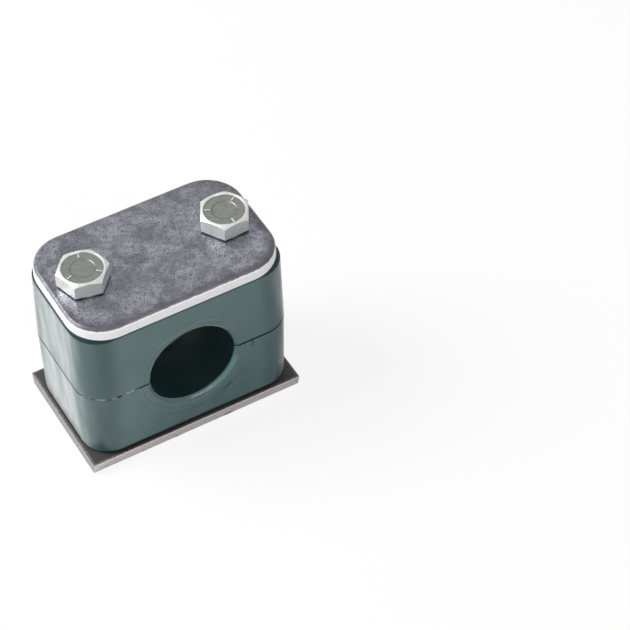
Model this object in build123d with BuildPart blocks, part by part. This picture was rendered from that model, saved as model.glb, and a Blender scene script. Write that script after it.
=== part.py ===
from build123d import *
import math
import os

# Tube clamp, light series: weld plate with two pressed nuts, two identical moulded halves,
# a cover plate and two hexagon bolts.  Millimetres.  X runs along the plates, Y along the
# tube, Z up.  The origin is the middle of the weld plate's underside.

# --- tube and moulded halves -------------------------------------------------------------
tube_d = 20.0
clamp_width = 30.0
body_length = 49.2
half_height = 18.0
body_corner_r = 7.0
mould_draft = 1.2
outer_edge_chamfer = 0.7
parting_edge_chamfer = 0.2
bore_lip_chamfer = 0.6
groove_width = 2.086
groove_flank = 0.35
groove_depth = 0.5
relief_margin = 4.0
relief_depth = 0.15

# --- weld plate and its nuts -------------------------------------------------------------
weld_plate_overhang = 0.4
weld_plate_t = 3.0
sheared_lean = 0.7
weld_plate_edge_r = 0.25
weld_plate_hole_chamfer = 0.3
hole_chamfer_angle = 90.0
nut_spigot_d = 8.3
nut_spigot_recess = 0.25
nut_collar_d = 11.0
nut_collar_height = 6.5
nut_edge_chamfer = 0.4

# --- cover plate -------------------------------------------------------------------------
cover_end_inset = 0.6
cover_t = 3.0
cover_corner_r = 8.5
cover_rolled_edge = 0.7

# --- hexagon bolts -----------------------------------------------------------------------
bolt_end_distance = 8.1
thread_d = 6.0
thread_pitch = 1.0
thread_depth_share = 0.6134
bolt_tip_z = 2.0
bolt_flats = 10.0
bolt_head_height = 4.0
head_chamfer_angle = 30.0
head_top_share = 0.95
washer_face_t = 0.4
washer_face_share = 0.93
dish_margin = 0.25
dish_depth = 0.25
disc_share = 0.6
disc_drop = 0.15
dish_wall = 0.15
tick_height = 0.125
tick_length = 1.3
tick_width = 0.35
tick_turns = (30, 150, 270)
tip_dimple_r = 1.6
tip_dimple_depth = 0.5
left_head_turn = 47.0
right_head_turn = 2.0

# --- clearances between pieces -----------------------------------------------------------
thread_clearance = 0.05
body_hole_play = 0.5
cover_hole_play = 0.5
collar_play = 0.25
collar_end_gap = 0.5
cover_slip_share_x = 0.6
cover_slip_share_y = 0.4

# --- sizes that follow -------------------------------------------------------------------
bore_r = tube_d / 2
bolt_spacing = body_length - 2 * bolt_end_distance
bolt_x = bolt_spacing / 2
weld_plate_length = body_length + 2 * weld_plate_overhang
cover_length = body_length - 2 * cover_end_inset
body_hole_r = thread_d / 2 + body_hole_play
collar_recess_r = nut_collar_d / 2 + collar_play
collar_recess_depth = nut_collar_height + collar_end_gap
nut_bore_r = thread_d / 2 + thread_clearance
nut_mouth_r = nut_bore_r + nut_edge_chamfer
cover_hole_r = thread_d / 2 + cover_hole_play
parting_z = weld_plate_t + half_height
cover_z = parting_z + half_height
head_seat_z = cover_z + cover_t
head_top_z = head_seat_z + bolt_head_height
cover_slip_x = cover_slip_share_x * cover_hole_play
cover_slip_y = cover_slip_share_y * cover_hole_play

os.makedirs("parts", exist_ok=True)


def upright_section(centre_x):
    """Plane through a bolt's axis: local X is the radius and local Y the height."""
    return Plane(origin=(centre_x, 0, 0), x_dir=(1, 0, 0), z_dir=(0, -1, 0))


def bolt_axis(centre_x):
    return Axis((centre_x, 0, 0), (0, 0, 1))


# --- weld plate: sheared from flat bar, so its long edges lean ----------------------------
with BuildPart() as weld_plate:
    with BuildSketch(Plane.XY):
        Rectangle(weld_plate_length, clamp_width - sheared_lean)
    with BuildSketch(Plane.XY.offset(weld_plate_t)):
        Rectangle(weld_plate_length, clamp_width + sheared_lean)
    loft()
    fillet(weld_plate.edges().filter_by(Axis.X), weld_plate_edge_r)
    with Locations(Plane(origin=(0, 0, 0), z_dir=(0, 0, -1))):
        with GridLocations(bolt_spacing, 1, 2, 1):
            CounterSinkHole(
                nut_spigot_d / 2,
                nut_spigot_d / 2 + weld_plate_hole_chamfer,
                counter_sink_angle=hole_chamfer_angle,
            )
weld_plate.part.label = "weld_plate"
export_step(weld_plate.part, "parts/weld_plate.step")


# --- weld nuts: a threaded collar above the plate, its spigot pressed into the hole -------
def weld_nut(centre_x):
    collar_top = weld_plate_t + nut_collar_height
    with BuildPart() as nut:
        with BuildSketch(upright_section(centre_x)):
            with BuildLine():
                Polyline(
                    (nut_mouth_r, nut_spigot_recess),
                    (nut_spigot_d / 2, nut_spigot_recess),
                    (nut_spigot_d / 2, weld_plate_t),
                    (nut_collar_d / 2, weld_plate_t),
                    (nut_collar_d / 2, collar_top - nut_edge_chamfer),
                    (nut_collar_d / 2 - nut_edge_chamfer, collar_top),
                    (nut_mouth_r, collar_top),
                    (nut_bore_r, collar_top - nut_edge_chamfer),
                    (nut_bore_r, nut_spigot_recess + nut_edge_chamfer),
                    close=True,
                )
            make_face()
        revolve(axis=bolt_axis(centre_x))
    return nut.part


# --- moulded half: parting face at the local Z = 0, outer face below it.  One shallow ring
# --- groove runs round the middle of the bore --------------------------------------------
def moulded_half():
    outer_plane = Plane(origin=(0, 0, -half_height), z_dir=(0, 0, -1))
    with BuildPart() as half:
        with BuildSketch(Plane.XY):
            RectangleRounded(body_length, clamp_width, body_corner_r)
        extrude(amount=-half_height, taper=mould_draft)
        chamfer(half.faces().sort_by(Axis.Z)[0].edges(), outer_edge_chamfer)

        with BuildSketch(Plane.XY):
            Rectangle(bore_r, 2 * clamp_width, align=(Align.MIN, Align.CENTER))
            with BuildLine():
                Polyline(
                    (bore_r, groove_width / 2),
                    (bore_r + groove_depth, groove_width / 2 - groove_flank),
                    (bore_r + groove_depth, groove_flank - groove_width / 2),
                    (bore_r, -groove_width / 2),
                    close=True,
                )
            make_face()
        revolve(axis=Axis.Y, mode=Mode.SUBTRACT)
        for mouth_face in (half.faces().sort_by(Axis.Y)[0], half.faces().sort_by(Axis.Y)[-1]):
            chamfer(mouth_face.edges().filter_by(GeomType.ELLIPSE), bore_lip_chamfer)
        beyond_lip = bore_r + max(groove_depth, bore_lip_chamfer)
        parting_edges = half.edges().group_by(Axis.Z)[-1]
        chamfer(parting_edges.filter_by(lambda e: abs(e.center().X) > beyond_lip), parting_edge_chamfer)

        with BuildSketch(Plane.XY):
            Rectangle(2 * (bore_r + relief_margin), 2 * clamp_width)
        extrude(amount=-relief_depth, mode=Mode.SUBTRACT)

        with Locations(outer_plane):
            with GridLocations(bolt_spacing, 1, 2, 1):
                CounterBoreHole(body_hole_r, collar_recess_r, collar_recess_depth)
    return half.part


half_blank = moulded_half()

with BuildPart() as lower_half:
    with Locations((0, 0, parting_z)):
        add(half_blank)
lower_half.part.label = "lower_half"
export_step(lower_half.part, "parts/lower_half.step")

with BuildPart() as upper_half:
    with Locations(Location((0, 0, parting_z), (0, 180, 0))):
        add(half_blank)
upper_half.part.label = "upper_half"
export_step(upper_half.part, "parts/upper_half.step")

# --- cover plate: blanked from sheet, top edge rolled by the die, slid within its play ----
with BuildPart() as cover_plate:
    with BuildSketch(Plane.XY.offset(cover_z)):
        with Locations((-cover_slip_x, -cover_slip_y)):
            RectangleRounded(cover_length, clamp_width, cover_corner_r)
            with GridLocations(bolt_spacing, 1, 2, 1):
                Circle(cover_hole_r, mode=Mode.SUBTRACT)
    extrude(amount=cover_t)
    rolled_edges = cover_plate.faces().sort_by(Axis.Z)[-1].outer_wire().edges()
    chamfer(rolled_edges, cover_rolled_edge)
cover_plate.part.label = "cover_plate"
export_step(cover_plate.part, "parts/cover_plate.step")


# --- hexagon bolt: chamfered head on a washer face, dished top with three ticks ----------
def hexagon_bolt(centre_x, head_turn):
    section = upright_section(centre_x)
    axis_line = bolt_axis(centre_x)
    turn = math.radians(head_turn)
    head_plane = Plane(
        origin=(centre_x, 0, head_seat_z),
        x_dir=(math.cos(turn), math.sin(turn), 0),
        z_dir=(0, 0, 1),
    )
    shank_r = thread_d / 2
    tip_chamfer = thread_depth_share * thread_pitch
    corner_r = bolt_flats / math.sqrt(3)
    chamfer_r = head_top_share * bolt_flats / 2
    chamfer_slope = math.tan(math.radians(head_chamfer_angle))
    chamfer_drop = (corner_r - chamfer_r) * chamfer_slope
    cutter_r = corner_r + chamfer_drop
    dish_r = chamfer_r - dish_margin
    disc_r = disc_share * dish_r
    dish_floor_z = head_top_z - dish_depth
    with BuildPart() as bolt:
        with BuildSketch(head_plane.offset(washer_face_t)):
            RegularPolygon(bolt_flats / 2, 6, major_radius=False)
        extrude(amount=bolt_head_height - washer_face_t)
        with BuildSketch(section):
            with BuildLine():
                Polyline(
                    (chamfer_r, head_top_z),
                    (cutter_r, head_top_z - (cutter_r - chamfer_r) * chamfer_slope),
                    (cutter_r, head_top_z),
                    close=True,
                )
            make_face()
        revolve(axis=axis_line, mode=Mode.SUBTRACT)
        with BuildSketch(section):
            with BuildLine():
                Polyline(
                    (0, bolt_tip_z + tip_dimple_depth),
                    (tip_dimple_r, bolt_tip_z),
                    (shank_r - tip_chamfer, bolt_tip_z),
                    (shank_r, bolt_tip_z + tip_chamfer),
                    (shank_r, head_seat_z),
                    (washer_face_share * bolt_flats / 2, head_seat_z),
                    (washer_face_share * bolt_flats / 2, head_seat_z + washer_face_t),
                    (0, head_seat_z + washer_face_t),
                    close=True,
                )
            make_face()
        revolve(axis=axis_line)
        with BuildSketch(section):
            with BuildLine():
                Polyline(
                    (0, head_top_z),
                    (dish_r, head_top_z),
                    (dish_r - dish_wall, dish_floor_z),
                    (disc_r, dish_floor_z),
                    (disc_r - dish_wall, dish_floor_z - disc_drop),
                    (0, dish_floor_z - disc_drop),
                    close=True,
                )
            make_face()
        revolve(axis=axis_line, mode=Mode.SUBTRACT)
        with BuildSketch(head_plane.offset(bolt_head_height - dish_depth)):
            for tick_turn in tick_turns:
                with PolarLocations((disc_r + dish_r) / 2, 1, tick_turn):
                    Rectangle(tick_length, tick_width)
        extrude(amount=tick_height)
    return bolt.part


for side, side_x, head_turn in (("left", -bolt_x, left_head_turn), ("right", bolt_x, right_head_turn)):
    nut = weld_nut(side_x)
    nut.label = f"weld_nut_{side}"
    export_step(nut, f"parts/weld_nut_{side}.step")
    bolt = hexagon_bolt(side_x, head_turn)
    bolt.label = f"bolt_{side}"
    export_step(bolt, f"parts/bolt_{side}.step")
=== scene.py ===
import math
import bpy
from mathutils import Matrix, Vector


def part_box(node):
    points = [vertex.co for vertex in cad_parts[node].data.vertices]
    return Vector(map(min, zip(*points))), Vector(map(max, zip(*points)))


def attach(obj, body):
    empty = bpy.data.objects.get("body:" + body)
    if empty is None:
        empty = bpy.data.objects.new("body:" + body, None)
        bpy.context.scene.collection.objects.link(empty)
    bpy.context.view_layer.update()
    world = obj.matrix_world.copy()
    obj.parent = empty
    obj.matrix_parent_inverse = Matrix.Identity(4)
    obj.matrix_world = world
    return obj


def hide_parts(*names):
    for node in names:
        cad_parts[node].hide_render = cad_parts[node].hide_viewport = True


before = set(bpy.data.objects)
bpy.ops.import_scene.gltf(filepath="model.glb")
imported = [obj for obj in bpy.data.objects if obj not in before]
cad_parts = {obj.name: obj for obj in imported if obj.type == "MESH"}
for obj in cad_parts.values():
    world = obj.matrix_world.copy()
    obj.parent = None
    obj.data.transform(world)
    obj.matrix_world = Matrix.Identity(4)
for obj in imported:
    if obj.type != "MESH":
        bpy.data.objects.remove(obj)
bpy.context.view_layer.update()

from types import SimpleNamespace

import bmesh
import bpy
from mathutils import Matrix, Vector

# Tube clamp.  Lengths are metres in the frame of the CAD model; the shader patterns work in
# millimetres.  X runs along the plates, Y along the tube, Z up from the weld plate.

MM = 0.001

# --- places taken from the frame -----------------------------------------------------------
weld_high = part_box("weld_plate")[1]
lower_low, lower_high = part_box("lower_half")
cover_low, cover_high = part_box("cover_plate")
PARTING_Z = lower_high.z
HALF_HEIGHT = lower_high.z - lower_low.z
BOLT_TIP_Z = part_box("bolt_left")[0].z

# --- plastic halves ------------------------------------------------------------------------
TUBE_R = 10.0 * MM
BORE_WALL_R = 10.7 * MM
BORE_WALL_INSET = 1.0 * MM
LIP_REACH = 1.0 * MM
ARRIS_REACH = 1.2 * MM
SHADE_PAINTED_ARRIS = 0.85 * MM
LEVEL_NORMAL = 0.95

# --- roundings of edges --------------------------------------------------------------------
HALF_ARRIS_R = 0.8 * MM
HALF_LIP_R = 0.22 * MM
HALF_EDGE_R = 0.06 * MM
COVER_EDGE_R = 0.22 * MM
WELD_EDGE_R = 0.1 * MM
BOLT_EDGE_R = 0.1 * MM
NUT_EDGE_R = 0.1 * MM

# --- threads -------------------------------------------------------------------------------
THREAD_PITCH = 1.0 * MM
THREAD_STEPS = 40
THREAD_LENGTH = 18.0 * MM
THREAD_START = 0.6 * THREAD_PITCH
BOLT_CREST_R = 2.95 * MM
BOLT_ROOT_R = 2.4 * MM
BOLT_TIP_R = 2.2 * MM
DIMPLE_R = 1.5 * MM
DIMPLE_DEPTH = 0.45 * MM
NUT_CREST_R = 2.55 * MM
NUT_ROOT_R = 3.15 * MM
NUT_MOUTH = 0.45 * MM
RIDGE_ROOT_SHARE = 0.48
RIDGE_CREST_SHARE = 0.08
RIDGE_SINK = 0.05 * MM

# --- meshes --------------------------------------------------------------------------------
MERGE_DISTANCE = 0.002 * MM
SEAL_DISTANCE = 0.001 * MM
FLAT_DEGREES = 0.6

# --- finishes, as linear colours -----------------------------------------------------------
PLASTIC_DARK = (0.009, 0.064, 0.067, 1)
PLASTIC_LIGHT = (0.013, 0.084, 0.088, 1)
PLASTIC_WORN = (0.026, 0.098, 0.100, 1)
# Dark for the seam and tool marks, and painted shade on the arrises and corners.
PLASTIC_MARK_AND_SHADE = (0.004, 0.020, 0.021, 1)
# Painted shade: the darker plastic of the bore's wall and of the arrises by the plates.
PAINTED_SHADE_DARK = (0.006, 0.022, 0.023, 1)
PAINTED_SHADE_LIGHT = (0.010, 0.036, 0.038, 1)
FLASH_GREEN = (0.42, 0.84, 0.72, 1)
NICK_GREEN = (0.006, 0.21, 0.13, 1)
# Pale green of the scuffs, also used for the painted highlight on the lip.
SCUFF_AND_HIGHLIGHT_GREEN = (0.16, 0.46, 0.38, 1)
ZINC_LIGHT = (0.32, 0.325, 0.365, 1)
ZINC_MID = (0.165, 0.165, 0.20, 1)
ZINC_DULL = (0.24, 0.235, 0.265, 1)
ZINC_PIT = (0.07, 0.065, 0.085, 1)
ZINC_RIM = (0.085, 0.080, 0.095, 1)
SHEARED_ZINC_DARK = (0.64, 0.63, 0.65, 1)
SHEARED_ZINC_LIGHT = (0.92, 0.91, 0.93, 1)
STEEL_DARK = (0.034, 0.031, 0.031, 1)
STEEL_MID = (0.056, 0.052, 0.052, 1)
STEEL_LIGHT = (0.082, 0.077, 0.077, 1)
SHEARED_STEEL_DARK = (0.44, 0.41, 0.40, 1)
SHEARED_STEEL_LIGHT = (0.78, 0.735, 0.72, 1)
# Painted shade: the darker colours of the plate's ends.
SHADED_END_STEEL_DARK = (0.22, 0.21, 0.21, 1)
SHADED_END_STEEL_LIGHT = (0.40, 0.38, 0.375, 1)
RUBBED_STEEL = (0.50, 0.47, 0.46, 1)
BRIGHT_ZINC_DARK = (0.55, 0.56, 0.545, 1)
BRIGHT_ZINC_LIGHT = (0.79, 0.795, 0.78, 1)
DISH_DARK = (0.15, 0.155, 0.145, 1)
DISH_LIGHT = (0.30, 0.305, 0.285, 1)
DISH_PAINTED_SHADE = (0.04, 0.042, 0.038, 1)
NUT_DARK = (0.075, 0.072, 0.072, 1)
NUT_MID = (0.16, 0.155, 0.155, 1)
NUT_CUT = (0.26, 0.25, 0.25, 1)


# === meshes ================================================================================


def keep_as_object(shell, name, sharp_angle=35):
    """Turn a finished bmesh into a smooth-shaded object that keeps its real creases."""
    bmesh.ops.recalc_face_normals(shell, faces=shell.faces)
    mesh = bpy.data.meshes.new(name)
    shell.to_mesh(mesh)
    shell.free()
    mesh.polygons.foreach_set("use_smooth", [True] * len(mesh.polygons))
    mesh.set_sharp_from_angle(angle=math.radians(sharp_angle))
    piece = bpy.data.objects.new(name, mesh)
    bpy.context.scene.collection.objects.link(piece)
    weights = piece.modifiers.new("even_faces", "WEIGHTED_NORMAL")
    weights.keep_sharp = True
    return piece


def merged_copy(node):
    """A bmesh of a CAD solid with its loose triangles merged and its flat faces whole."""
    shell = bmesh.new()
    shell.from_mesh(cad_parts[node].data)
    bmesh.ops.remove_doubles(shell, verts=shell.verts, dist=MERGE_DISTANCE)
    bmesh.ops.dissolve_limit(
        shell, angle_limit=math.radians(FLAT_DEGREES), verts=shell.verts, edges=shell.edges
    )
    return shell


def round_creases(shell, radius, crease_angle=24, segments=3, place=None):
    """Round every edge that is sharper than the crease angle, or only those whose middle fits."""
    limit = math.radians(crease_angle)
    creases = [edge for edge in shell.edges if edge.is_manifold and edge.calc_face_angle() > limit]
    if place is not None:
        creases = [edge for edge in creases if place((edge.verts[0].co + edge.verts[1].co) / 2)]
    bmesh.ops.bevel(
        shell,
        geom=creases,
        offset=radius,
        offset_type="OFFSET",
        segments=segments,
        profile=0.5,
        affect="EDGES",
        clamp_overlap=True,
        material=-1,
    )


def softened(node, steps):
    """A merged copy of a CAD solid, its edges rounded step by step, shown in place of the node."""
    shell = merged_copy(node)
    for radius, place in steps:
        round_creases(shell, radius, place=place)
    piece = keep_as_object(shell, node + "_finished")
    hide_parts(node)
    return piece


def centre_of(box):
    low, high = box
    return (low + high) / 2


# === shader building blocks ================================================================


def shader_node(tree, kind, inputs=None, **properties):
    """Add a node, set its properties, and fill its inputs with values or links."""
    node = tree.nodes.new(kind)
    for name, value in properties.items():
        setattr(node, name, value)
    for name, value in (inputs or {}).items():
        if isinstance(value, bpy.types.NodeSocket):
            tree.links.new(value, node.inputs[name])
        else:
            node.inputs[name].default_value = value
    return node


def maths(tree, operation, first, second=0.0, clamp=False):
    node = shader_node(tree, "ShaderNodeMath", {0: first, 1: second}, operation=operation)
    node.use_clamp = clamp
    return node.outputs[0]


def times(tree, value, factor):
    return maths(tree, "MULTIPLY", value, factor)


def size_of(tree, value):
    return maths(tree, "ABSOLUTE", value)


def step_up(tree, value, low, high):
    """0 below low, 1 above high, and a smooth rise between them."""
    node = shader_node(
        tree,
        "ShaderNodeMapRange",
        {"Value": value, "From Min": low, "From Max": high, "To Min": 0.0, "To Max": 1.0},
        interpolation_type="SMOOTHSTEP",
    )
    return node.outputs["Result"]


def step_down(tree, value, low, high):
    return maths(tree, "SUBTRACT", 1.0, step_up(tree, value, low, high))


def band(tree, value, low, high, soft):
    """1 between low and high, falling to 0 over a soft margin on both sides."""
    rise = step_up(tree, value, low - soft, low)
    fall = step_down(tree, value, high, high + soft)
    return times(tree, rise, fall)


def any_of(tree, *masks):
    """The strongest of several masks."""
    strongest = masks[0]
    for mask in masks[1:]:
        strongest = maths(tree, "MAXIMUM", strongest, mask)
    return strongest


def all_of(tree, *masks):
    """The product of several masks."""
    product = masks[0]
    for mask in masks[1:]:
        product = times(tree, product, mask)
    return product


def mixed(tree, factor, first, second):
    node = shader_node(tree, "ShaderNodeMix", {0: factor, 6: first, 7: second}, data_type="RGBA")
    return node.outputs[2]


def tinted(tree, base, mask, colour, strength=None):
    """The base colour with another laid over it where the mask is, at full strength or less."""
    share = mask if strength is None else times(tree, mask, strength)
    return mixed(tree, share, base, colour)


def mixed_value(tree, factor, first, second):
    node = shader_node(tree, "ShaderNodeMix", {0: factor, 2: first, 3: second}, data_type="FLOAT")
    return node.outputs[0]


def place_mm(tree):
    """The object's own coordinates in millimetres."""
    place = shader_node(tree, "ShaderNodeTexCoord").outputs["Object"]
    scaled = shader_node(
        tree, "ShaderNodeVectorMath", {0: place, "Scale": 1000.0}, operation="SCALE"
    )
    return scaled.outputs[0]


def parts_of(tree, vector):
    node = shader_node(tree, "ShaderNodeSeparateXYZ", {0: vector})
    return node.outputs[0], node.outputs[1], node.outputs[2]


def stretched(tree, place, factors):
    """Coordinates multiplied axis by axis: a factor below 1 draws a pattern out along that axis."""
    node = shader_node(
        tree, "ShaderNodeMapping", {"Vector": place, "Scale": factors}, vector_type="POINT"
    )
    return node.outputs[0]


def grain(tree, place, size, detail=2.0, roughness=0.5, distortion=0.0):
    """Noise from 0 to 1 whose lumps are about the given size in millimetres."""
    node = shader_node(
        tree,
        "ShaderNodeTexNoise",
        {
            "Vector": place,
            "Scale": 1.0 / size,
            "Detail": detail,
            "Roughness": roughness,
            "Distortion": distortion,
        },
    )
    return node.outputs[0]


def length_of(tree, first, second):
    joined = shader_node(tree, "ShaderNodeCombineXYZ", {0: first, 1: second, 2: 0.0}).outputs[0]
    node = shader_node(tree, "ShaderNodeVectorMath", {0: joined}, operation="LENGTH")
    return node.outputs["Value"]


def outline_distance(tree, x, y, half_length, half_width, corner_r):
    """Distance from a rounded rectangle's outline in the XY plane, negative inside."""
    over_x = maths(tree, "SUBTRACT", size_of(tree, x), half_length - corner_r)
    over_y = maths(tree, "SUBTRACT", size_of(tree, y), half_width - corner_r)
    outside = length_of(
        tree, maths(tree, "MAXIMUM", over_x, 0.0), maths(tree, "MAXIMUM", over_y, 0.0)
    )
    inside = maths(tree, "MINIMUM", maths(tree, "MAXIMUM", over_x, over_y), 0.0)
    return maths(tree, "SUBTRACT", maths(tree, "ADD", outside, inside), corner_r)


def bumped(tree, height, depth_mm, normal=None):
    """A normal from a height pattern whose full swing is the given depth."""
    inputs = {"Height": height, "Strength": 1.0, "Distance": depth_mm * MM}
    if normal is not None:
        inputs["Normal"] = normal
    return shader_node(tree, "ShaderNodeBump", inputs).outputs[0]


def new_material(name):
    material = bpy.data.materials.new(name)
    material.use_nodes = True
    tree = material.node_tree
    tree.nodes.clear()
    shader = shader_node(tree, "ShaderNodeBsdfPrincipled")
    output = shader_node(tree, "ShaderNodeOutputMaterial")
    tree.links.new(shader.outputs[0], output.inputs["Surface"])
    return material, tree, shader


def finish_with(tree, shader, colour, roughness, normal, metallic=None):
    tree.links.new(colour, shader.inputs["Base Color"])
    tree.links.new(roughness, shader.inputs["Roughness"])
    tree.links.new(normal, shader.inputs["Normal"])
    if metallic is not None:
        tree.links.new(metallic, shader.inputs["Metallic"])


# === materials =============================================================================

# Ranges for step_up and step_down are (start, end) of the change; those for band add its soft
# margin.  X, Y, Z, R, depths and widths are millimetres, and Z on the plastic counts from the
# parting line.  Turns are radians round the bore, tilts are shares of a face's normal, and
# levels are heights of a noise that runs from 0 to 1.

# --- moulded plastic -----------------------------------------------------------------------
SQUARE_TILT = (0.9, 0.98)
LEVEL_TILT = (0.82, 0.92)

FLASH_CORNER_X = (-12.5, -11.0)
FLASH_CORNER_Y = (-11.0, -10.0)
FLASH_LEVEL = (0.5, 0.62)
FLASH_Z = (-0.1, 0.12, 0.05)
SEAM_CLOSED_LEVEL = (0.36, 0.42)
SEAM_WIDENS_X = (10.0, 14.0)
SEAM_NARROW = 0.2
SEAM_WIDE = 0.3
SEAM_SOFT = (0.0, 0.08)

END_NICK_Y = 0.7
END_NICK_Z = 3.0
END_NICK_LEAN = 0.4
END_NICK_RAGGED = 0.2
END_NICK_ACROSS = (-0.05, 0.25, 0.12)
END_NICK_ALONG = (-0.9, 0.9, 0.3)
END_NICK_X = (-20.0, -19.0)

SCUFF_X = (-20.0, -18.0)
SCUFF_Y = -9.6
SCUFF_WANDER = 5.0
SCUFF_ACROSS = (2.2, 4.6)
SCUFF_BELOW = (-0.4, 2.4)
SCUFF_DOT_LEVEL = (0.58, 0.66)
SCUFF_FAINT = 0.12
SCUFF_STRONG = 0.9

ARC_TURN = (-2.05, -0.65, 0.12)
ARC_R = (14.55, 14.65, 0.12)
ARC_WANDER = 1.4
ARC_BREAK_LEVEL = (0.42, 0.48)
GOUGE_TURN = (-1.06, -0.9, 0.03)
GOUGE_R = (13.5, 13.95, 0.15)
EDGE_NICK_X = (13.95, 14.25, 0.12)
EDGE_NICK_Z = (-1.9, 0.4, 0.1)
MARK_STRENGTH = 0.75

# Painted shade: where the dark band under the cover's edge and at the foot reaches.
ARRIS_LEFT_X = (-18.0, -13.0)
ARRIS_FRONT_Y = (-10.0, -5.0)
ARRIS_END_X = (16.0, 20.0)
ARRIS_SOFT = (-0.1, 0.1)
ARRIS_DEPTH = 0.4
ARRIS_LEFT_DEPTH = 0.95
ARRIS_BACK_DEPTH = 1.6
FOOT_DEPTH = (0.75, 0.95)

# Painted shade, with less coat, on the four upright corners.
CORNER_X = (15.0, 20.0)
CORNER_Y = (4.6, 8.0)
CORNER_PAINTED_SHADE = 0.35
# Painted highlight on the lower right of the front lip.
LIP_HIGHLIGHT_R = (10.3, 11.0, 0.2)
LIP_HIGHLIGHT_TURN = (-1.15, -0.5, 0.35)
LIP_HIGHLIGHT_Y = (-14.0, -13.8)
LIP_HIGHLIGHT_STRENGTH = 0.35
FLOW_STRENGTH = 0.35

MOUTH_RING_R = (11.75, 11.95, 0.2)
OUTER_RING_R = (13.1, 13.3, 0.25)
OUTER_RING_SHARE = 0.5
CUT_SHARE = 0.4
CARVED_DEPTH = 0.08
SINK_DEPTH = 0.9
SPECK_DEPTH = 0.006

SATIN_ROUGHNESS = (0.24, 0.34)
FLOW_ROUGHNESS = 0.4
SCUFF_ROUGHNESS = 0.5
DULL_ROUGHNESS = 0.9
FLAT_POLISH = 0.9
CORNER_POLISH = 0.3


def plastic_places(tree):
    """The coordinates and directions that the marks on the plastic are laid out by."""
    place = place_mm(tree)
    x, y, z = parts_of(tree, place)
    facing = shader_node(tree, "ShaderNodeNewGeometry").outputs["Normal"]
    _, facing_y, facing_z = parts_of(tree, facing)
    above_parting = maths(tree, "SUBTRACT", z, PARTING_Z / MM)
    return SimpleNamespace(
        place=place,
        x=x,
        y=y,
        z=z,
        above_parting=above_parting,
        from_bore=length_of(tree, x, above_parting),
        round_bore=maths(tree, "ARCTAN2", above_parting, x),
        on_bore_face=step_up(tree, size_of(tree, facing_y), *SQUARE_TILT),
        on_front=step_up(tree, times(tree, facing_y, -1.0), *SQUARE_TILT),
        on_side=step_down(tree, size_of(tree, facing_z), *LEVEL_TILT),
    )


def seam_and_flash(tree, at):
    """The dark seam between the halves, and the pale dashes that fill it at the left corner."""
    near_corner = all_of(
        tree, step_down(tree, at.x, *FLASH_CORNER_X), step_down(tree, at.y, *FLASH_CORNER_Y)
    )
    dashes = grain(tree, stretched(tree, at.place, (1.0, 1.0, 0.3)), size=1.3, detail=1.0)
    still_open = step_down(tree, dashes, *SEAM_CLOSED_LEVEL)
    open_seam = mixed_value(tree, near_corner, 1.0, still_open)
    widening = step_up(tree, size_of(tree, at.x), *SEAM_WIDENS_X)
    seam_half = mixed_value(tree, widening, SEAM_NARROW, SEAM_WIDE)
    off_seam = maths(tree, "SUBTRACT", size_of(tree, at.above_parting), seam_half)
    seam = all_of(tree, step_down(tree, off_seam, *SEAM_SOFT), open_seam, at.on_side)
    at_parting = band(tree, at.above_parting, *FLASH_Z)
    flash = all_of(tree, at_parting, step_up(tree, dashes, *FLASH_LEVEL), near_corner, at.on_side)
    return seam, flash


def leaning_nick(tree, at, specks):
    """One nick on the left end, above the parting line."""
    along = maths(tree, "SUBTRACT", at.above_parting, END_NICK_Z)
    middle_y = maths(tree, "ADD", times(tree, along, END_NICK_LEAN), END_NICK_Y)
    across = maths(tree, "SUBTRACT", at.y, middle_y)
    across = maths(tree, "ADD", across, times(tree, specks, END_NICK_RAGGED))
    return all_of(
        tree,
        band(tree, across, *END_NICK_ACROSS),
        band(tree, along, *END_NICK_ALONG),
        step_down(tree, at.x, *END_NICK_X),
    )


def corner_scuffs(tree, at):
    """A ragged upright streak below the parting line on the left corner, and its pale dots."""
    wander = grain(tree, at.place, size=2.2, detail=4.0, roughness=0.7)
    wander = times(tree, wander, SCUFF_WANDER)
    off_streak = size_of(tree, maths(tree, "SUBTRACT", at.y, SCUFF_Y))
    streak = step_down(tree, maths(tree, "ADD", off_streak, wander), *SCUFF_ACROSS)
    below = step_down(tree, maths(tree, "ADD", at.above_parting, wander), *SCUFF_BELOW)
    scuffs = all_of(tree, streak, step_down(tree, at.x, *SCUFF_X), below)
    dots = step_up(tree, grain(tree, at.place, size=0.5, roughness=0.6), *SCUFF_DOT_LEVEL)
    paleness = mixed_value(tree, dots, SCUFF_FAINT, SCUFF_STRONG)
    return scuffs, all_of(tree, scuffs, paleness)


def tool_marks(tree, at):
    """Broken dark arcs and a gouge under the bore, and one nick across the parting edge."""
    wander = times(tree, grain(tree, at.place, size=4.0, detail=1.0), ARC_WANDER)
    arcs = all_of(
        tree,
        band(tree, at.round_bore, *ARC_TURN),
        step_up(tree, grain(tree, at.place, size=2.6, detail=1.0), *ARC_BREAK_LEVEL),
        band(tree, maths(tree, "ADD", at.from_bore, wander), *ARC_R),
    )
    gouge = all_of(tree, band(tree, at.round_bore, *GOUGE_TURN), band(tree, at.from_bore, *GOUGE_R))
    nick = all_of(tree, band(tree, at.x, *EDGE_NICK_X), band(tree, at.above_parting, *EDGE_NICK_Z))
    return all_of(tree, any_of(tree, arcs, gouge, nick), at.on_front)


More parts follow.
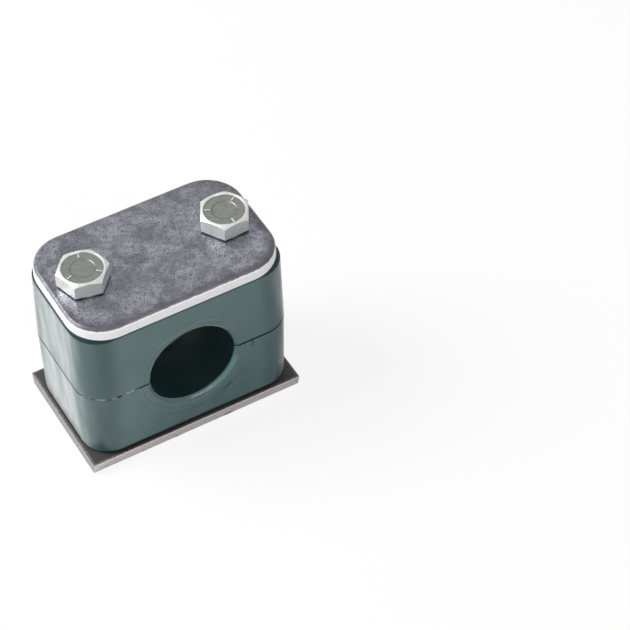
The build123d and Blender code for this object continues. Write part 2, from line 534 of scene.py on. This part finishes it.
def painted_shade_arrises(tree, at):
    """Painted shade: a dark band on the dull arris under the cover, widest behind and round the
    left end, and one at the foot.
    """
    below_cover = maths(tree, "SUBTRACT", cover_low.z / MM, at.z)
    near_left = step_down(tree, at.x, *ARRIS_LEFT_X)
    near_front = step_down(tree, at.y, *ARRIS_FRONT_Y)
    front_depth = mixed_value(tree, near_left, ARRIS_DEPTH, ARRIS_LEFT_DEPTH)
    arris_depth = mixed_value(tree, near_front, ARRIS_BACK_DEPTH, front_depth)
    off_arris = maths(tree, "SUBTRACT", below_cover, arris_depth)
    arris = step_down(tree, off_arris, *ARRIS_SOFT)
    arris = all_of(tree, arris, step_down(tree, at.x, *ARRIS_END_X))
    above_plate = maths(tree, "SUBTRACT", at.z, weld_high.z / MM)
    return any_of(tree, arris, step_down(tree, above_plate, *FOOT_DEPTH))


def mouth_rings(tree, at, clouds):
    """A shallow ring round each mouth of the bore, and a fainter, patchy one outside it."""
    ring = all_of(tree, band(tree, at.from_bore, *MOUTH_RING_R), at.on_bore_face)
    outer = all_of(tree, band(tree, at.from_bore, *OUTER_RING_R), at.on_bore_face, clouds)
    return any_of(tree, ring, times(tree, outer, OUTER_RING_SHARE))


def moulded_polypropylene():
    """Satin dark green plastic with seam, flash, sink marks and scuffs; painted shade on the
    arrises by the plates and on the duller corners, and a painted highlight on the lip.
    """
    material, tree, shader = new_material("moulded_polypropylene")
    at = plastic_places(tree)
    clouds = grain(tree, at.place, size=9.0)
    specks = grain(tree, at.place, size=0.35, roughness=0.6)
    flow = stretched(tree, at.place, (1.0, 1.0, 0.12))
    flow = grain(tree, flow, size=1.6, detail=3.0, roughness=0.6)
    seam, flash = seam_and_flash(tree, at)
    end_nick = leaning_nick(tree, at, specks)
    scuffs, pale_scuffs = corner_scuffs(tree, at)
    marks = tool_marks(tree, at)
    painted_shade = painted_shade_arrises(tree, at)
    corner = all_of(
        tree,
        step_up(tree, size_of(tree, at.y), *CORNER_Y),
        step_up(tree, size_of(tree, at.x), *CORNER_X),
    )
    lip_highlight = all_of(
        tree,
        band(tree, at.from_bore, *LIP_HIGHLIGHT_R),
        band(tree, at.round_bore, *LIP_HIGHLIGHT_TURN),
        step_down(tree, at.y, *LIP_HIGHLIGHT_Y),
    )

    base = mixed(tree, clouds, PLASTIC_DARK, PLASTIC_LIGHT)
    base = tinted(tree, base, flow, PLASTIC_WORN, FLOW_STRENGTH)
    base = tinted(tree, base, seam, PLASTIC_MARK_AND_SHADE)
    base = tinted(tree, base, flash, FLASH_GREEN)
    base = tinted(tree, base, end_nick, NICK_GREEN)
    base = tinted(tree, base, pale_scuffs, SCUFF_AND_HIGHLIGHT_GREEN)
    base = tinted(tree, base, marks, PLASTIC_MARK_AND_SHADE, MARK_STRENGTH)
    # Painted shade under the cover's edge and at the foot.
    base = tinted(tree, base, painted_shade, PLASTIC_MARK_AND_SHADE)
    # Painted shade on the corners.
    base = tinted(tree, base, corner, PLASTIC_MARK_AND_SHADE, CORNER_PAINTED_SHADE)
    # Painted highlight on the lip.
    base = tinted(tree, base, lip_highlight, SCUFF_AND_HIGHLIGHT_GREEN, LIP_HIGHLIGHT_STRENGTH)

    cut = any_of(tree, marks, seam)
    dulled = any_of(tree, cut, painted_shade, end_nick)
    carved = any_of(tree, mouth_rings(tree, at, clouds), times(tree, cut, CUT_SHARE))
    sinks = grain(tree, stretched(tree, at.place, (1.0, 1.0, 0.35)), size=6.0, detail=1.0)
    normal = bumped(tree, specks, SPECK_DEPTH)
    normal = bumped(tree, sinks, SINK_DEPTH, normal)
    normal = bumped(tree, times(tree, carved, -1.0), CARVED_DEPTH, normal)

    roughness = mixed_value(tree, specks, *SATIN_ROUGHNESS)
    roughness = mixed_value(tree, flow, roughness, FLOW_ROUGHNESS)
    roughness = mixed_value(tree, scuffs, roughness, SCUFF_ROUGHNESS)
    roughness = mixed_value(tree, dulled, roughness, DULL_ROUGHNESS)
    finish_with(tree, shader, base, roughness, normal)
    polish = mixed_value(tree, corner, FLAT_POLISH, CORNER_POLISH)
    tree.links.new(mixed_value(tree, dulled, polish, 0.0), shader.inputs["Coat Weight"])
    tree.links.new(normal, shader.inputs["Coat Normal"])
    shader.inputs["Specular IOR Level"].default_value = 0.45
    shader.inputs["Coat Roughness"].default_value = 0.16
    shader.inputs["Sheen Weight"].default_value = 1.0
    shader.inputs["Sheen Roughness"].default_value = 0.33
    return material


def shade_painted_polypropylene():
    """The same plastic, darker as painted shade for the bore's wall and the arrises by the plates:
    dull, finely lined along the tube.
    """
    material, tree, shader = new_material("shade_painted_polypropylene")
    place = place_mm(tree)
    lines = grain(tree, stretched(tree, place, (1.0, 0.15, 1.0)), size=0.4, roughness=0.6)
    clouds = grain(tree, place, size=4.0)
    base = mixed(tree, clouds, PAINTED_SHADE_DARK, PAINTED_SHADE_LIGHT)
    normal = bumped(tree, lines, depth_mm=0.01)
    roughness = mixed_value(tree, lines, 0.5, 0.65)
    finish_with(tree, shader, base, roughness, normal)
    shader.inputs["Specular IOR Level"].default_value = 0.25
    return material


# --- cover plate ---------------------------------------------------------------------------
COVER_CORNER_R = 8.5
SPANGLE_LEVEL = (0.35, 0.65)
MOTTLE_LEVEL = (0.45, 0.65)
MOTTLE_STRENGTH = 0.6
PIT_LEVEL = (0.66, 0.8)
PIT_CLUSTERING = 0.35
PIT_STRENGTH = 0.75
RIM_RAGGED = 2.4
RIM_MARGIN = (-1.6, 0.6)
RIM_FRONT_Y = (-12.0, -4.0)
RIM_RIGHT_X = (14.0, 21.0)
RIM_FAINT = 0.25
RIM_STRONG = 0.75
EDGE_RAGGED = 0.3
EDGE_DEPTH = (0.55, 0.8)
EDGE_MARGIN = (-0.5, -0.3)
DULL_MARGIN = (-1.4, -0.8)


def galvanised_cover():
    """Mottled blue-grey zinc with dark grains, a duller rim and a bright sheared edge."""
    material, tree, shader = new_material("galvanised_cover")
    place = place_mm(tree)
    x, y, z = parts_of(tree, place)
    middle = (cover_low + cover_high) / 2
    margin = outline_distance(
        tree,
        maths(tree, "SUBTRACT", x, middle.x / MM),
        maths(tree, "SUBTRACT", y, middle.y / MM),
        (cover_high.x - cover_low.x) / 2 / MM,
        (cover_high.y - cover_low.y) / 2 / MM,
        COVER_CORNER_R,
    )
    depth = maths(tree, "SUBTRACT", cover_high.z / MM, z)

    spangle = grain(tree, place, size=5.0, detail=3.0, roughness=0.6, distortion=0.5)
    mottle = grain(tree, place, size=1.1, detail=3.0, roughness=0.65)
    specks = grain(tree, place, size=0.32, detail=3.0, roughness=0.7)
    clustered = maths(tree, "ADD", specks, times(tree, mottle, PIT_CLUSTERING))
    pits = step_up(tree, clustered, *PIT_LEVEL)
    face = mixed(tree, step_up(tree, spangle, *SPANGLE_LEVEL), ZINC_MID, ZINC_LIGHT)
    face = tinted(tree, face, step_up(tree, mottle, *MOTTLE_LEVEL), ZINC_DULL, MOTTLE_STRENGTH)
    face = tinted(tree, face, pits, ZINC_PIT, PIT_STRENGTH)

    # The rim is darker and duller, most along the front and round the right end.
    ragged_margin = maths(tree, "ADD", margin, times(tree, mottle, RIM_RAGGED))
    front_or_right = any_of(
        tree, step_down(tree, y, *RIM_FRONT_Y), step_up(tree, x, *RIM_RIGHT_X)
    )
    rim_strength = mixed_value(tree, front_or_right, RIM_FAINT, RIM_STRONG)
    rim = all_of(tree, step_up(tree, ragged_margin, *RIM_MARGIN), rim_strength)
    face = tinted(tree, face, rim, ZINC_RIM)

    shear_grain = stretched(tree, place, (1.0, 1.0, 2.0))
    shear_grain = grain(tree, shear_grain, size=0.35, detail=3.0, roughness=0.7)
    sheared = mixed(tree, shear_grain, SHEARED_ZINC_DARK, SHEARED_ZINC_LIGHT)
    ragged_depth = maths(tree, "ADD", depth, times(tree, mottle, EDGE_RAGGED))
    on_edge = all_of(
        tree, step_up(tree, ragged_depth, *EDGE_DEPTH), step_up(tree, margin, *EDGE_MARGIN)
    )
    colour = mixed(tree, on_edge, face, sheared)

    fine = bumped(tree, specks, depth_mm=0.02)
    lumps = mixed_value(tree, on_edge, mottle, shear_grain)
    normal = bumped(tree, lumps, depth_mm=0.05, normal=fine)
    roughness = mixed_value(tree, mottle, 0.2, 0.34)
    roughness = mixed_value(tree, step_up(tree, margin, *DULL_MARGIN), roughness, 0.45)
    roughness = mixed_value(tree, on_edge, roughness, 0.55)
    metallic = mixed_value(tree, on_edge, 0.8, 0.55)
    finish_with(tree, shader, colour, roughness, normal, metallic)
    return material


# --- weld plate ----------------------------------------------------------------------------
WELD_CORNER_R = 0.05
EDGE_TILT = (0.55, 0.8)
END_TILT = (0.5, 0.7)
ROLLED_STRENGTH = 0.5
CHIP_LEVEL = (0.62, 0.68)
CHIP_Z = (0.5, 1.1)
CHIP_STRENGTH = 0.8
RUBBED_MARGIN = (-0.7, -0.3)
RUBBED_OFF_MIDDLE = (1.2, 1.4)
RUBBED_LEVEL = (0.45, 0.6)
RUBBED_STRENGTH = 0.6


def phosphated_plate():
    """Dark warm-grey steel, lighter where the edges were sheared and where corners rubbed, with
    painted shade on the ends.
    """
    material, tree, shader = new_material("phosphated_plate")
    place = place_mm(tree)
    x, y, z = parts_of(tree, place)
    facing = shader_node(tree, "ShaderNodeNewGeometry").outputs["Normal"]
    facing_x, _, facing_z = parts_of(tree, facing)
    on_edge = step_down(tree, size_of(tree, facing_z), *EDGE_TILT)
    on_end = step_up(tree, size_of(tree, facing_x), *END_TILT)
    margin = outline_distance(tree, x, y, weld_high.x / MM, weld_high.y / MM, WELD_CORNER_R)

    clouds = grain(tree, place, size=6.0, detail=3.0, roughness=0.6)
    rolled = stretched(tree, place, (0.25, 1.0, 1.0))
    rolled = grain(tree, rolled, size=0.5, detail=3.0, roughness=0.65)
    specks = grain(tree, place, size=0.25, roughness=0.6)
    face = mixed(tree, clouds, STEEL_DARK, STEEL_MID)
    face = tinted(tree, face, rolled, STEEL_LIGHT, ROLLED_STRENGTH)

    # The long edges were sheared bright; the ends get darker colours, painted shade that tones down
    # the lamp on the left end.
    shear_lines = stretched(tree, place, (1.0, 1.0, 0.3))
    shear_lines = grain(tree, shear_lines, size=0.35, detail=3.0, roughness=0.7)
    sheared = mixed(tree, shear_lines, SHEARED_STEEL_DARK, SHEARED_STEEL_LIGHT)
    shaded_end = mixed(tree, shear_lines, SHADED_END_STEEL_DARK, SHADED_END_STEEL_LIGHT)
    chips = grain(tree, stretched(tree, place, (0.6, 0.6, 1.0)), size=1.4, roughness=0.6)
    chips = step_up(tree, chips, *CHIP_LEVEL)
    low_chips = all_of(tree, chips, step_down(tree, z, *CHIP_Z))
    edge = mixed(tree, on_end, sheared, shaded_end)
    edge = tinted(tree, edge, low_chips, STEEL_DARK, CHIP_STRENGTH)

    off_middle = size_of(tree, maths(tree, "SUBTRACT", z, weld_high.z / MM / 2))
    rubbed = all_of(
        tree,
        step_up(tree, margin, *RUBBED_MARGIN),
        step_up(tree, off_middle, *RUBBED_OFF_MIDDLE),
        step_up(tree, specks, *RUBBED_LEVEL),
    )
    colour = mixed(tree, on_edge, face, edge)
    colour = tinted(tree, colour, rubbed, RUBBED_STEEL, RUBBED_STRENGTH)

    rough_edge = maths(tree, "SUBTRACT", shear_lines, low_chips)
    fine = bumped(tree, specks, depth_mm=0.015)
    lumps = mixed_value(tree, on_edge, rolled, rough_edge)
    normal = bumped(tree, lumps, depth_mm=0.08, normal=fine)
    roughness = mixed_value(tree, on_edge, mixed_value(tree, rolled, 0.42, 0.55), 0.5)
    metallic = mixed_value(tree, on_edge, 0.1, 0.7)
    finish_with(tree, shader, colour, roughness, normal, metallic)
    shader.inputs["Specular IOR Level"].default_value = 0.35
    return material


# --- bolts and nuts ------------------------------------------------------------------------
DISH_R = (4.35, 4.5)
DISH_DEPTH = (0.6, 0.8)
RAISED_DEPTH = (0.1, 0.18)
DISC_EDGE_R = (2.5, 2.7, 0.15)
DISC_EDGE_STRENGTH = 0.25
ZINC_SPECK_LEVEL = (0.6, 0.75)
ZINC_SPECK_STRENGTH = 0.3
NUT_SPECK_LEVEL = (0.6, 0.72)


def zinc_bolt(name, axis, head_top):
    """Bright zinc with a dull olive dish on top of the head."""
    material, tree, shader = new_material(name)
    place = place_mm(tree)
    x, y, z = parts_of(tree, place)
    radius = length_of(
        tree,
        maths(tree, "SUBTRACT", x, axis.x / MM),
        maths(tree, "SUBTRACT", y, axis.y / MM),
    )
    depth = maths(tree, "SUBTRACT", head_top / MM, z)
    in_dish = all_of(tree, step_down(tree, radius, *DISH_R), step_down(tree, depth, *DISH_DEPTH))
    raised = step_down(tree, depth, *RAISED_DEPTH)
    dulled = times(tree, in_dish, maths(tree, "SUBTRACT", 1.0, raised))
    disc_edge_shade = all_of(tree, band(tree, radius, *DISC_EDGE_R), in_dish)

    mottle = grain(tree, place, size=0.9, detail=3.0, roughness=0.6)
    specks = grain(tree, place, size=0.2, roughness=0.6)
    bright = mixed(tree, mottle, BRIGHT_ZINC_DARK, BRIGHT_ZINC_LIGHT)
    colour = mixed(tree, dulled, bright, mixed(tree, mottle, DISH_DARK, DISH_LIGHT))
    # Painted shade: a dark ring along the step in the dish.
    colour = tinted(tree, colour, disc_edge_shade, DISH_PAINTED_SHADE, DISC_EDGE_STRENGTH)
    spots = step_up(tree, specks, *ZINC_SPECK_LEVEL)
    colour = tinted(tree, colour, spots, DISH_LIGHT, ZINC_SPECK_STRENGTH)

    fine = bumped(tree, specks, depth_mm=0.012)
    normal = bumped(tree, mottle, depth_mm=0.03, normal=fine)
    roughness = mixed_value(tree, dulled, mixed_value(tree, mottle, 0.30, 0.42), 0.38)
    metallic = mixed_value(tree, dulled, 0.5, 0.85)
    finish_with(tree, shader, colour, roughness, normal, metallic)
    return material


def pressed_nut_steel():
    """Dark phosphated steel, flecked where handling has rubbed it bright."""
    material, tree, shader = new_material("pressed_nut_steel")
    place = place_mm(tree)
    mottle = grain(tree, place, size=0.8, detail=3.0, roughness=0.6)
    specks = grain(tree, place, size=0.2, roughness=0.6)
    colour = mixed(tree, mottle, NUT_DARK, NUT_MID)
    colour = tinted(tree, colour, step_up(tree, specks, *NUT_SPECK_LEVEL), NUT_CUT)
    normal = bumped(tree, specks, depth_mm=0.02)
    roughness = mixed_value(tree, mottle, 0.34, 0.5)
    finish_with(tree, shader, colour, roughness, normal)
    shader.inputs["Metallic"].default_value = 0.6
    return material


# === pieces ================================================================================


def dress(piece, material, body):
    piece.data.materials.clear()
    piece.data.materials.append(material)
    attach(piece, body)


def dress_shade_painted_faces(piece, material):
    """Give the bore's wall, and the arrises against the two plates, the dull finish with painted
    shade.
    """
    piece.data.materials.append(material)
    for face in piece.data.polygons:
        middle = face.center
        from_axis = math.hypot(middle.x, middle.z - PARTING_Z)
        from_plate = HALF_HEIGHT - abs(middle.z - PARTING_Z)
        on_wall = from_axis < BORE_WALL_R and abs(middle.y) < lower_high.y - BORE_WALL_INSET
        on_arris = from_plate < SHADE_PAINTED_ARRIS and abs(face.normal.z) < LEVEL_NORMAL
        if on_wall or on_arris:
            face.material_index = 1


def add_ridge(shell, axis_x, root_r, crest_r, start_z, turns):
    """Wind one closed thread ridge round a vertical axis."""
    root = RIDGE_ROOT_SHARE * THREAD_PITCH
    crest = RIDGE_CREST_SHARE * THREAD_PITCH
    section = [
        shell.verts.new((axis_x + root_r, 0, start_z - root)),
        shell.verts.new((axis_x + crest_r, 0, start_z - crest)),
        shell.verts.new((axis_x + crest_r, 0, start_z + crest)),
        shell.verts.new((axis_x + root_r, 0, start_z + root)),
    ]
    face = shell.faces.new(section)
    bmesh.ops.spin(
        shell,
        geom=[face, *face.edges, *section],
        cent=(axis_x, 0, 0),
        axis=(0, 0, 1),
        dvec=(0, 0, THREAD_PITCH / THREAD_STEPS),
        angle=math.tau * turns,
        steps=round(THREAD_STEPS * turns),
        use_merge=False,
        use_duplicate=False,
    )


def hexagon_bolt(node, axis_x, tip_z):
    """The CAD head and plain shank, with a cut thread, a chamfered tip and its dimple."""
    thread_top = tip_z + THREAD_LENGTH
    shell = merged_copy(node)
    round_creases(shell, BOLT_EDGE_R)
    cut = bmesh.ops.bisect_plane(
        shell,
        geom=[*shell.verts, *shell.edges, *shell.faces],
        plane_co=(axis_x, 0, thread_top),
        plane_no=(0, 0, 1),
        clear_inner=True,
    )
    rim = [item for item in cut["geom_cut"] if isinstance(item, bmesh.types.BMEdge)]
    bmesh.ops.contextual_create(shell, geom=rim)

    core = [
        shell.verts.new((axis_x, 0, tip_z + DIMPLE_DEPTH)),
        shell.verts.new((axis_x + DIMPLE_R, 0, tip_z)),
        shell.verts.new((axis_x + BOLT_TIP_R, 0, tip_z)),
        shell.verts.new((axis_x + BOLT_ROOT_R, 0, tip_z + BOLT_ROOT_R - BOLT_TIP_R)),
        shell.verts.new((axis_x + BOLT_ROOT_R, 0, thread_top)),
        shell.verts.new((axis_x, 0, thread_top)),
    ]
    profile = [shell.edges.new(pair) for pair in zip(core, core[1:])]
    bmesh.ops.spin(
        shell,
        geom=[*core, *profile],
        cent=(axis_x, 0, 0),
        axis=(0, 0, 1),
        angle=math.tau,
        steps=THREAD_STEPS,
        use_merge=True,
        use_duplicate=False,
    )
    bmesh.ops.remove_doubles(shell, verts=shell.verts, dist=SEAL_DISTANCE)
    before = set(shell.verts)
    turns = THREAD_LENGTH / THREAD_PITCH - 1.0
    add_ridge(shell, axis_x, BOLT_ROOT_R - RIDGE_SINK, BOLT_CREST_R, tip_z + THREAD_START, turns)
    for vertex in set(shell.verts) - before:
        # The ridge runs out along the tip's chamfer of 45 degrees.
        reach = BOLT_TIP_R + max(vertex.co.z - tip_z, 0.0)
        across = Vector((vertex.co.x - axis_x, vertex.co.y))
        if across.length > reach:
            across = across.normalized() * reach
            vertex.co.x = axis_x + across.x
            vertex.co.y = across.y
    piece = keep_as_object(shell, node + "_finished")
    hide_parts(node)
    return piece


def threaded_nut(node):
    """The CAD collar with a cut internal thread, half a pitch away from the bolt's."""
    low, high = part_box(node)
    shell = merged_copy(node)
    round_creases(shell, NUT_EDGE_R, segments=2)
    turns = (high.z - low.z - 2 * NUT_MOUTH) / THREAD_PITCH
    start = BOLT_TIP_Z + THREAD_START - THREAD_PITCH / 2
    start -= math.floor((start - low.z - NUT_MOUTH) / THREAD_PITCH) * THREAD_PITCH
    add_ridge(shell, (low.x + high.x) / 2, NUT_ROOT_R, NUT_CREST_R, start, math.floor(turns))
    piece = keep_as_object(shell, node + "_finished")
    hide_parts(node)
    return piece


def at_outer_arris(middle):
    """On the line where a side turns into the chamfer that faces a plate."""
    from_outside = HALF_HEIGHT - abs(middle.z - PARTING_Z)
    return ARRIS_REACH / 3 < from_outside < ARRIS_REACH


def at_bore_lip(middle):
    """On the chamfered lip at either mouth of the bore."""
    from_axis = math.hypot(middle.x, middle.z - PARTING_Z)
    return from_axis < TUBE_R + LIP_REACH and abs(middle.y) > lower_high.y - LIP_REACH


plastic = moulded_polypropylene()
shade_painted_plastic = shade_painted_polypropylene()
half_steps = ((HALF_ARRIS_R, at_outer_arris), (HALF_LIP_R, at_bore_lip), (HALF_EDGE_R, None))
for half, body in (("lower_half", "base"), ("upper_half", "top")):
    shell_half = softened(half, half_steps)
    dress(shell_half, plastic, body)
    dress_shade_painted_faces(shell_half, shade_painted_plastic)
cover = softened("cover_plate", ((COVER_EDGE_R, None),))
dress(cover, galvanised_cover(), "top")
weld = softened("weld_plate", ((WELD_EDGE_R, None),))
dress(weld, phosphated_plate(), "base")
nut_finish = pressed_nut_steel()
for nut in ("weld_nut_left", "weld_nut_right"):
    dress(threaded_nut(nut), nut_finish, "base")
for bolt in ("bolt_left", "bolt_right"):
    axis = centre_of(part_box(bolt.replace("bolt", "weld_nut")))
    tip, head_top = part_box(bolt)
    zinc = zinc_bolt(bolt + "_zinc", axis, head_top.z)
    dress(hexagon_bolt(bolt, axis.x, tip.z), zinc, bolt)

# === studio ================================================================================

FLOOR_SIZE = 6.0
FLOOR_GAP = 0.02 * MM
FLOOR_WHITE_SEEN = 0.85
FLOOR_WHITE_MIRRORED = 0.05
ROOM_LIGHT = 0.27
PURE_WHITE = (1, 1, 1, 1)
TABLE_WHITE = (0.95, 0.95, 0.95, 1)
LAMP_TARGET = (0, 0, 0.02)
LAMPS = (
    ("left_window", (-0.56, 0.33, 0.60), 0.6, 9.4),
    ("front_fill", (0.05, -0.80, 0.34), 0.5, 2.0),
)


def share_of_rays(tree, rays, names):
    """1 for the named kinds of ray, 0 for the rest."""
    return any_of(tree, *(rays.outputs[name] for name in names))


def pale_floor():
    """A white table: near-white to the camera, a little darker in reflections, softly shadowed."""
    shell = bmesh.new()
    bmesh.ops.create_grid(shell, x_segments=1, y_segments=1, size=FLOOR_SIZE / 2)
    bmesh.ops.translate(shell, verts=shell.verts, vec=(0, 0, -FLOOR_GAP))
    mesh = bpy.data.meshes.new("studio_floor")
    shell.to_mesh(mesh)
    shell.free()
    floor = bpy.data.objects.new("studio_floor", mesh)
    bpy.context.scene.collection.objects.link(floor)
    material = bpy.data.materials.new("white_table")
    material.use_nodes = True
    tree = material.node_tree
    tree.nodes.clear()
    table = shader_node(tree, "ShaderNodeBsdfDiffuse", {"Color": TABLE_WHITE})
    white = shader_node(tree, "ShaderNodeEmission", {"Color": PURE_WHITE, "Strength": 1.0})
    rays = shader_node(tree, "ShaderNodeLightPath")
    mirrored = share_of_rays(tree, rays, ("Is Glossy Ray", "Is Transmission Ray"))
    white_seen = times(tree, rays.outputs["Is Camera Ray"], FLOOR_WHITE_SEEN)
    white_share = any_of(tree, white_seen, times(tree, mirrored, FLOOR_WHITE_MIRRORED))
    chosen = shader_node(
        tree, "ShaderNodeMixShader", {0: white_share, 1: table.outputs[0], 2: white.outputs[0]}
    )
    output = shader_node(tree, "ShaderNodeOutputMaterial")
    tree.links.new(chosen.outputs[0], output.inputs["Surface"])
    mesh.materials.append(material)


def pale_room():
    """World light: even and soft, and white where a view or a reflection passes the table."""
    world = bpy.data.worlds.new("pale_room")
    bpy.context.scene.world = world
    world.use_nodes = True
    tree = world.node_tree
    tree.nodes.clear()
    rays = shader_node(tree, "ShaderNodeLightPath")
    seen = share_of_rays(tree, rays, ("Is Camera Ray", "Is Glossy Ray", "Is Transmission Ray"))
    soft = shader_node(tree, "ShaderNodeBackground", {"Color": PURE_WHITE, "Strength": ROOM_LIGHT})
    white = shader_node(tree, "ShaderNodeBackground", {"Color": PURE_WHITE, "Strength": 1.0})
    chosen = shader_node(
        tree, "ShaderNodeMixShader", {0: seen, 1: soft.outputs[0], 2: white.outputs[0]}
    )
    output = shader_node(tree, "ShaderNodeOutputWorld")
    tree.links.new(chosen.outputs[0], output.inputs["Surface"])


def soft_lamp(name, place, size, power):
    """A square area lamp aimed at the foot of the clamp."""
    data = bpy.data.lights.new(name, "AREA")
    data.shape = "SQUARE"
    data.size = size
    data.energy = power
    lamp = bpy.data.objects.new(name, data)
    lamp.location = place
    lamp.rotation_euler = (Vector(LAMP_TARGET) - Vector(place)).to_track_quat("-Z", "Y").to_euler()
    bpy.context.scene.collection.objects.link(lamp)


def studio_camera():
    """Long lens from the front left, looking down; the clamp stands left of the middle."""
    azimuth = math.radians(-28.993)
    elevation = math.radians(47.779)
    roll = math.radians(-1.064)
    distance = 555.164 * MM
    target = Vector((28.899, -15.764, 21.130)) * MM
    back = Vector((
        math.sin(azimuth) * math.cos(elevation),
        -math.cos(azimuth) * math.cos(elevation),
        math.sin(elevation),
    ))
    right = Vector((math.cos(azimuth), math.sin(azimuth), 0))
    up = back.cross(right)
    rolled_right = right * math.cos(roll) + up * math.sin(roll)
    rolled_up = up * math.cos(roll) - right * math.sin(roll)
    data = bpy.data.cameras.new("studio_camera")
    data.sensor_width = 36
    data.lens = 148.64
    data.clip_start = 0.01
    data.clip_end = 20
    camera = bpy.data.objects.new("studio_camera", data)
    turn = Matrix((rolled_right, rolled_up, back)).transposed().to_4x4()
    camera.matrix_world = Matrix.Translation(target + back * distance) @ turn
    bpy.context.scene.collection.objects.link(camera)
    bpy.context.scene.camera = camera


pale_floor()
pale_room()
for lamp in LAMPS:
    soft_lamp(*lamp)
studio_camera()
bpy.context.scene.view_settings.view_transform = "Standard"
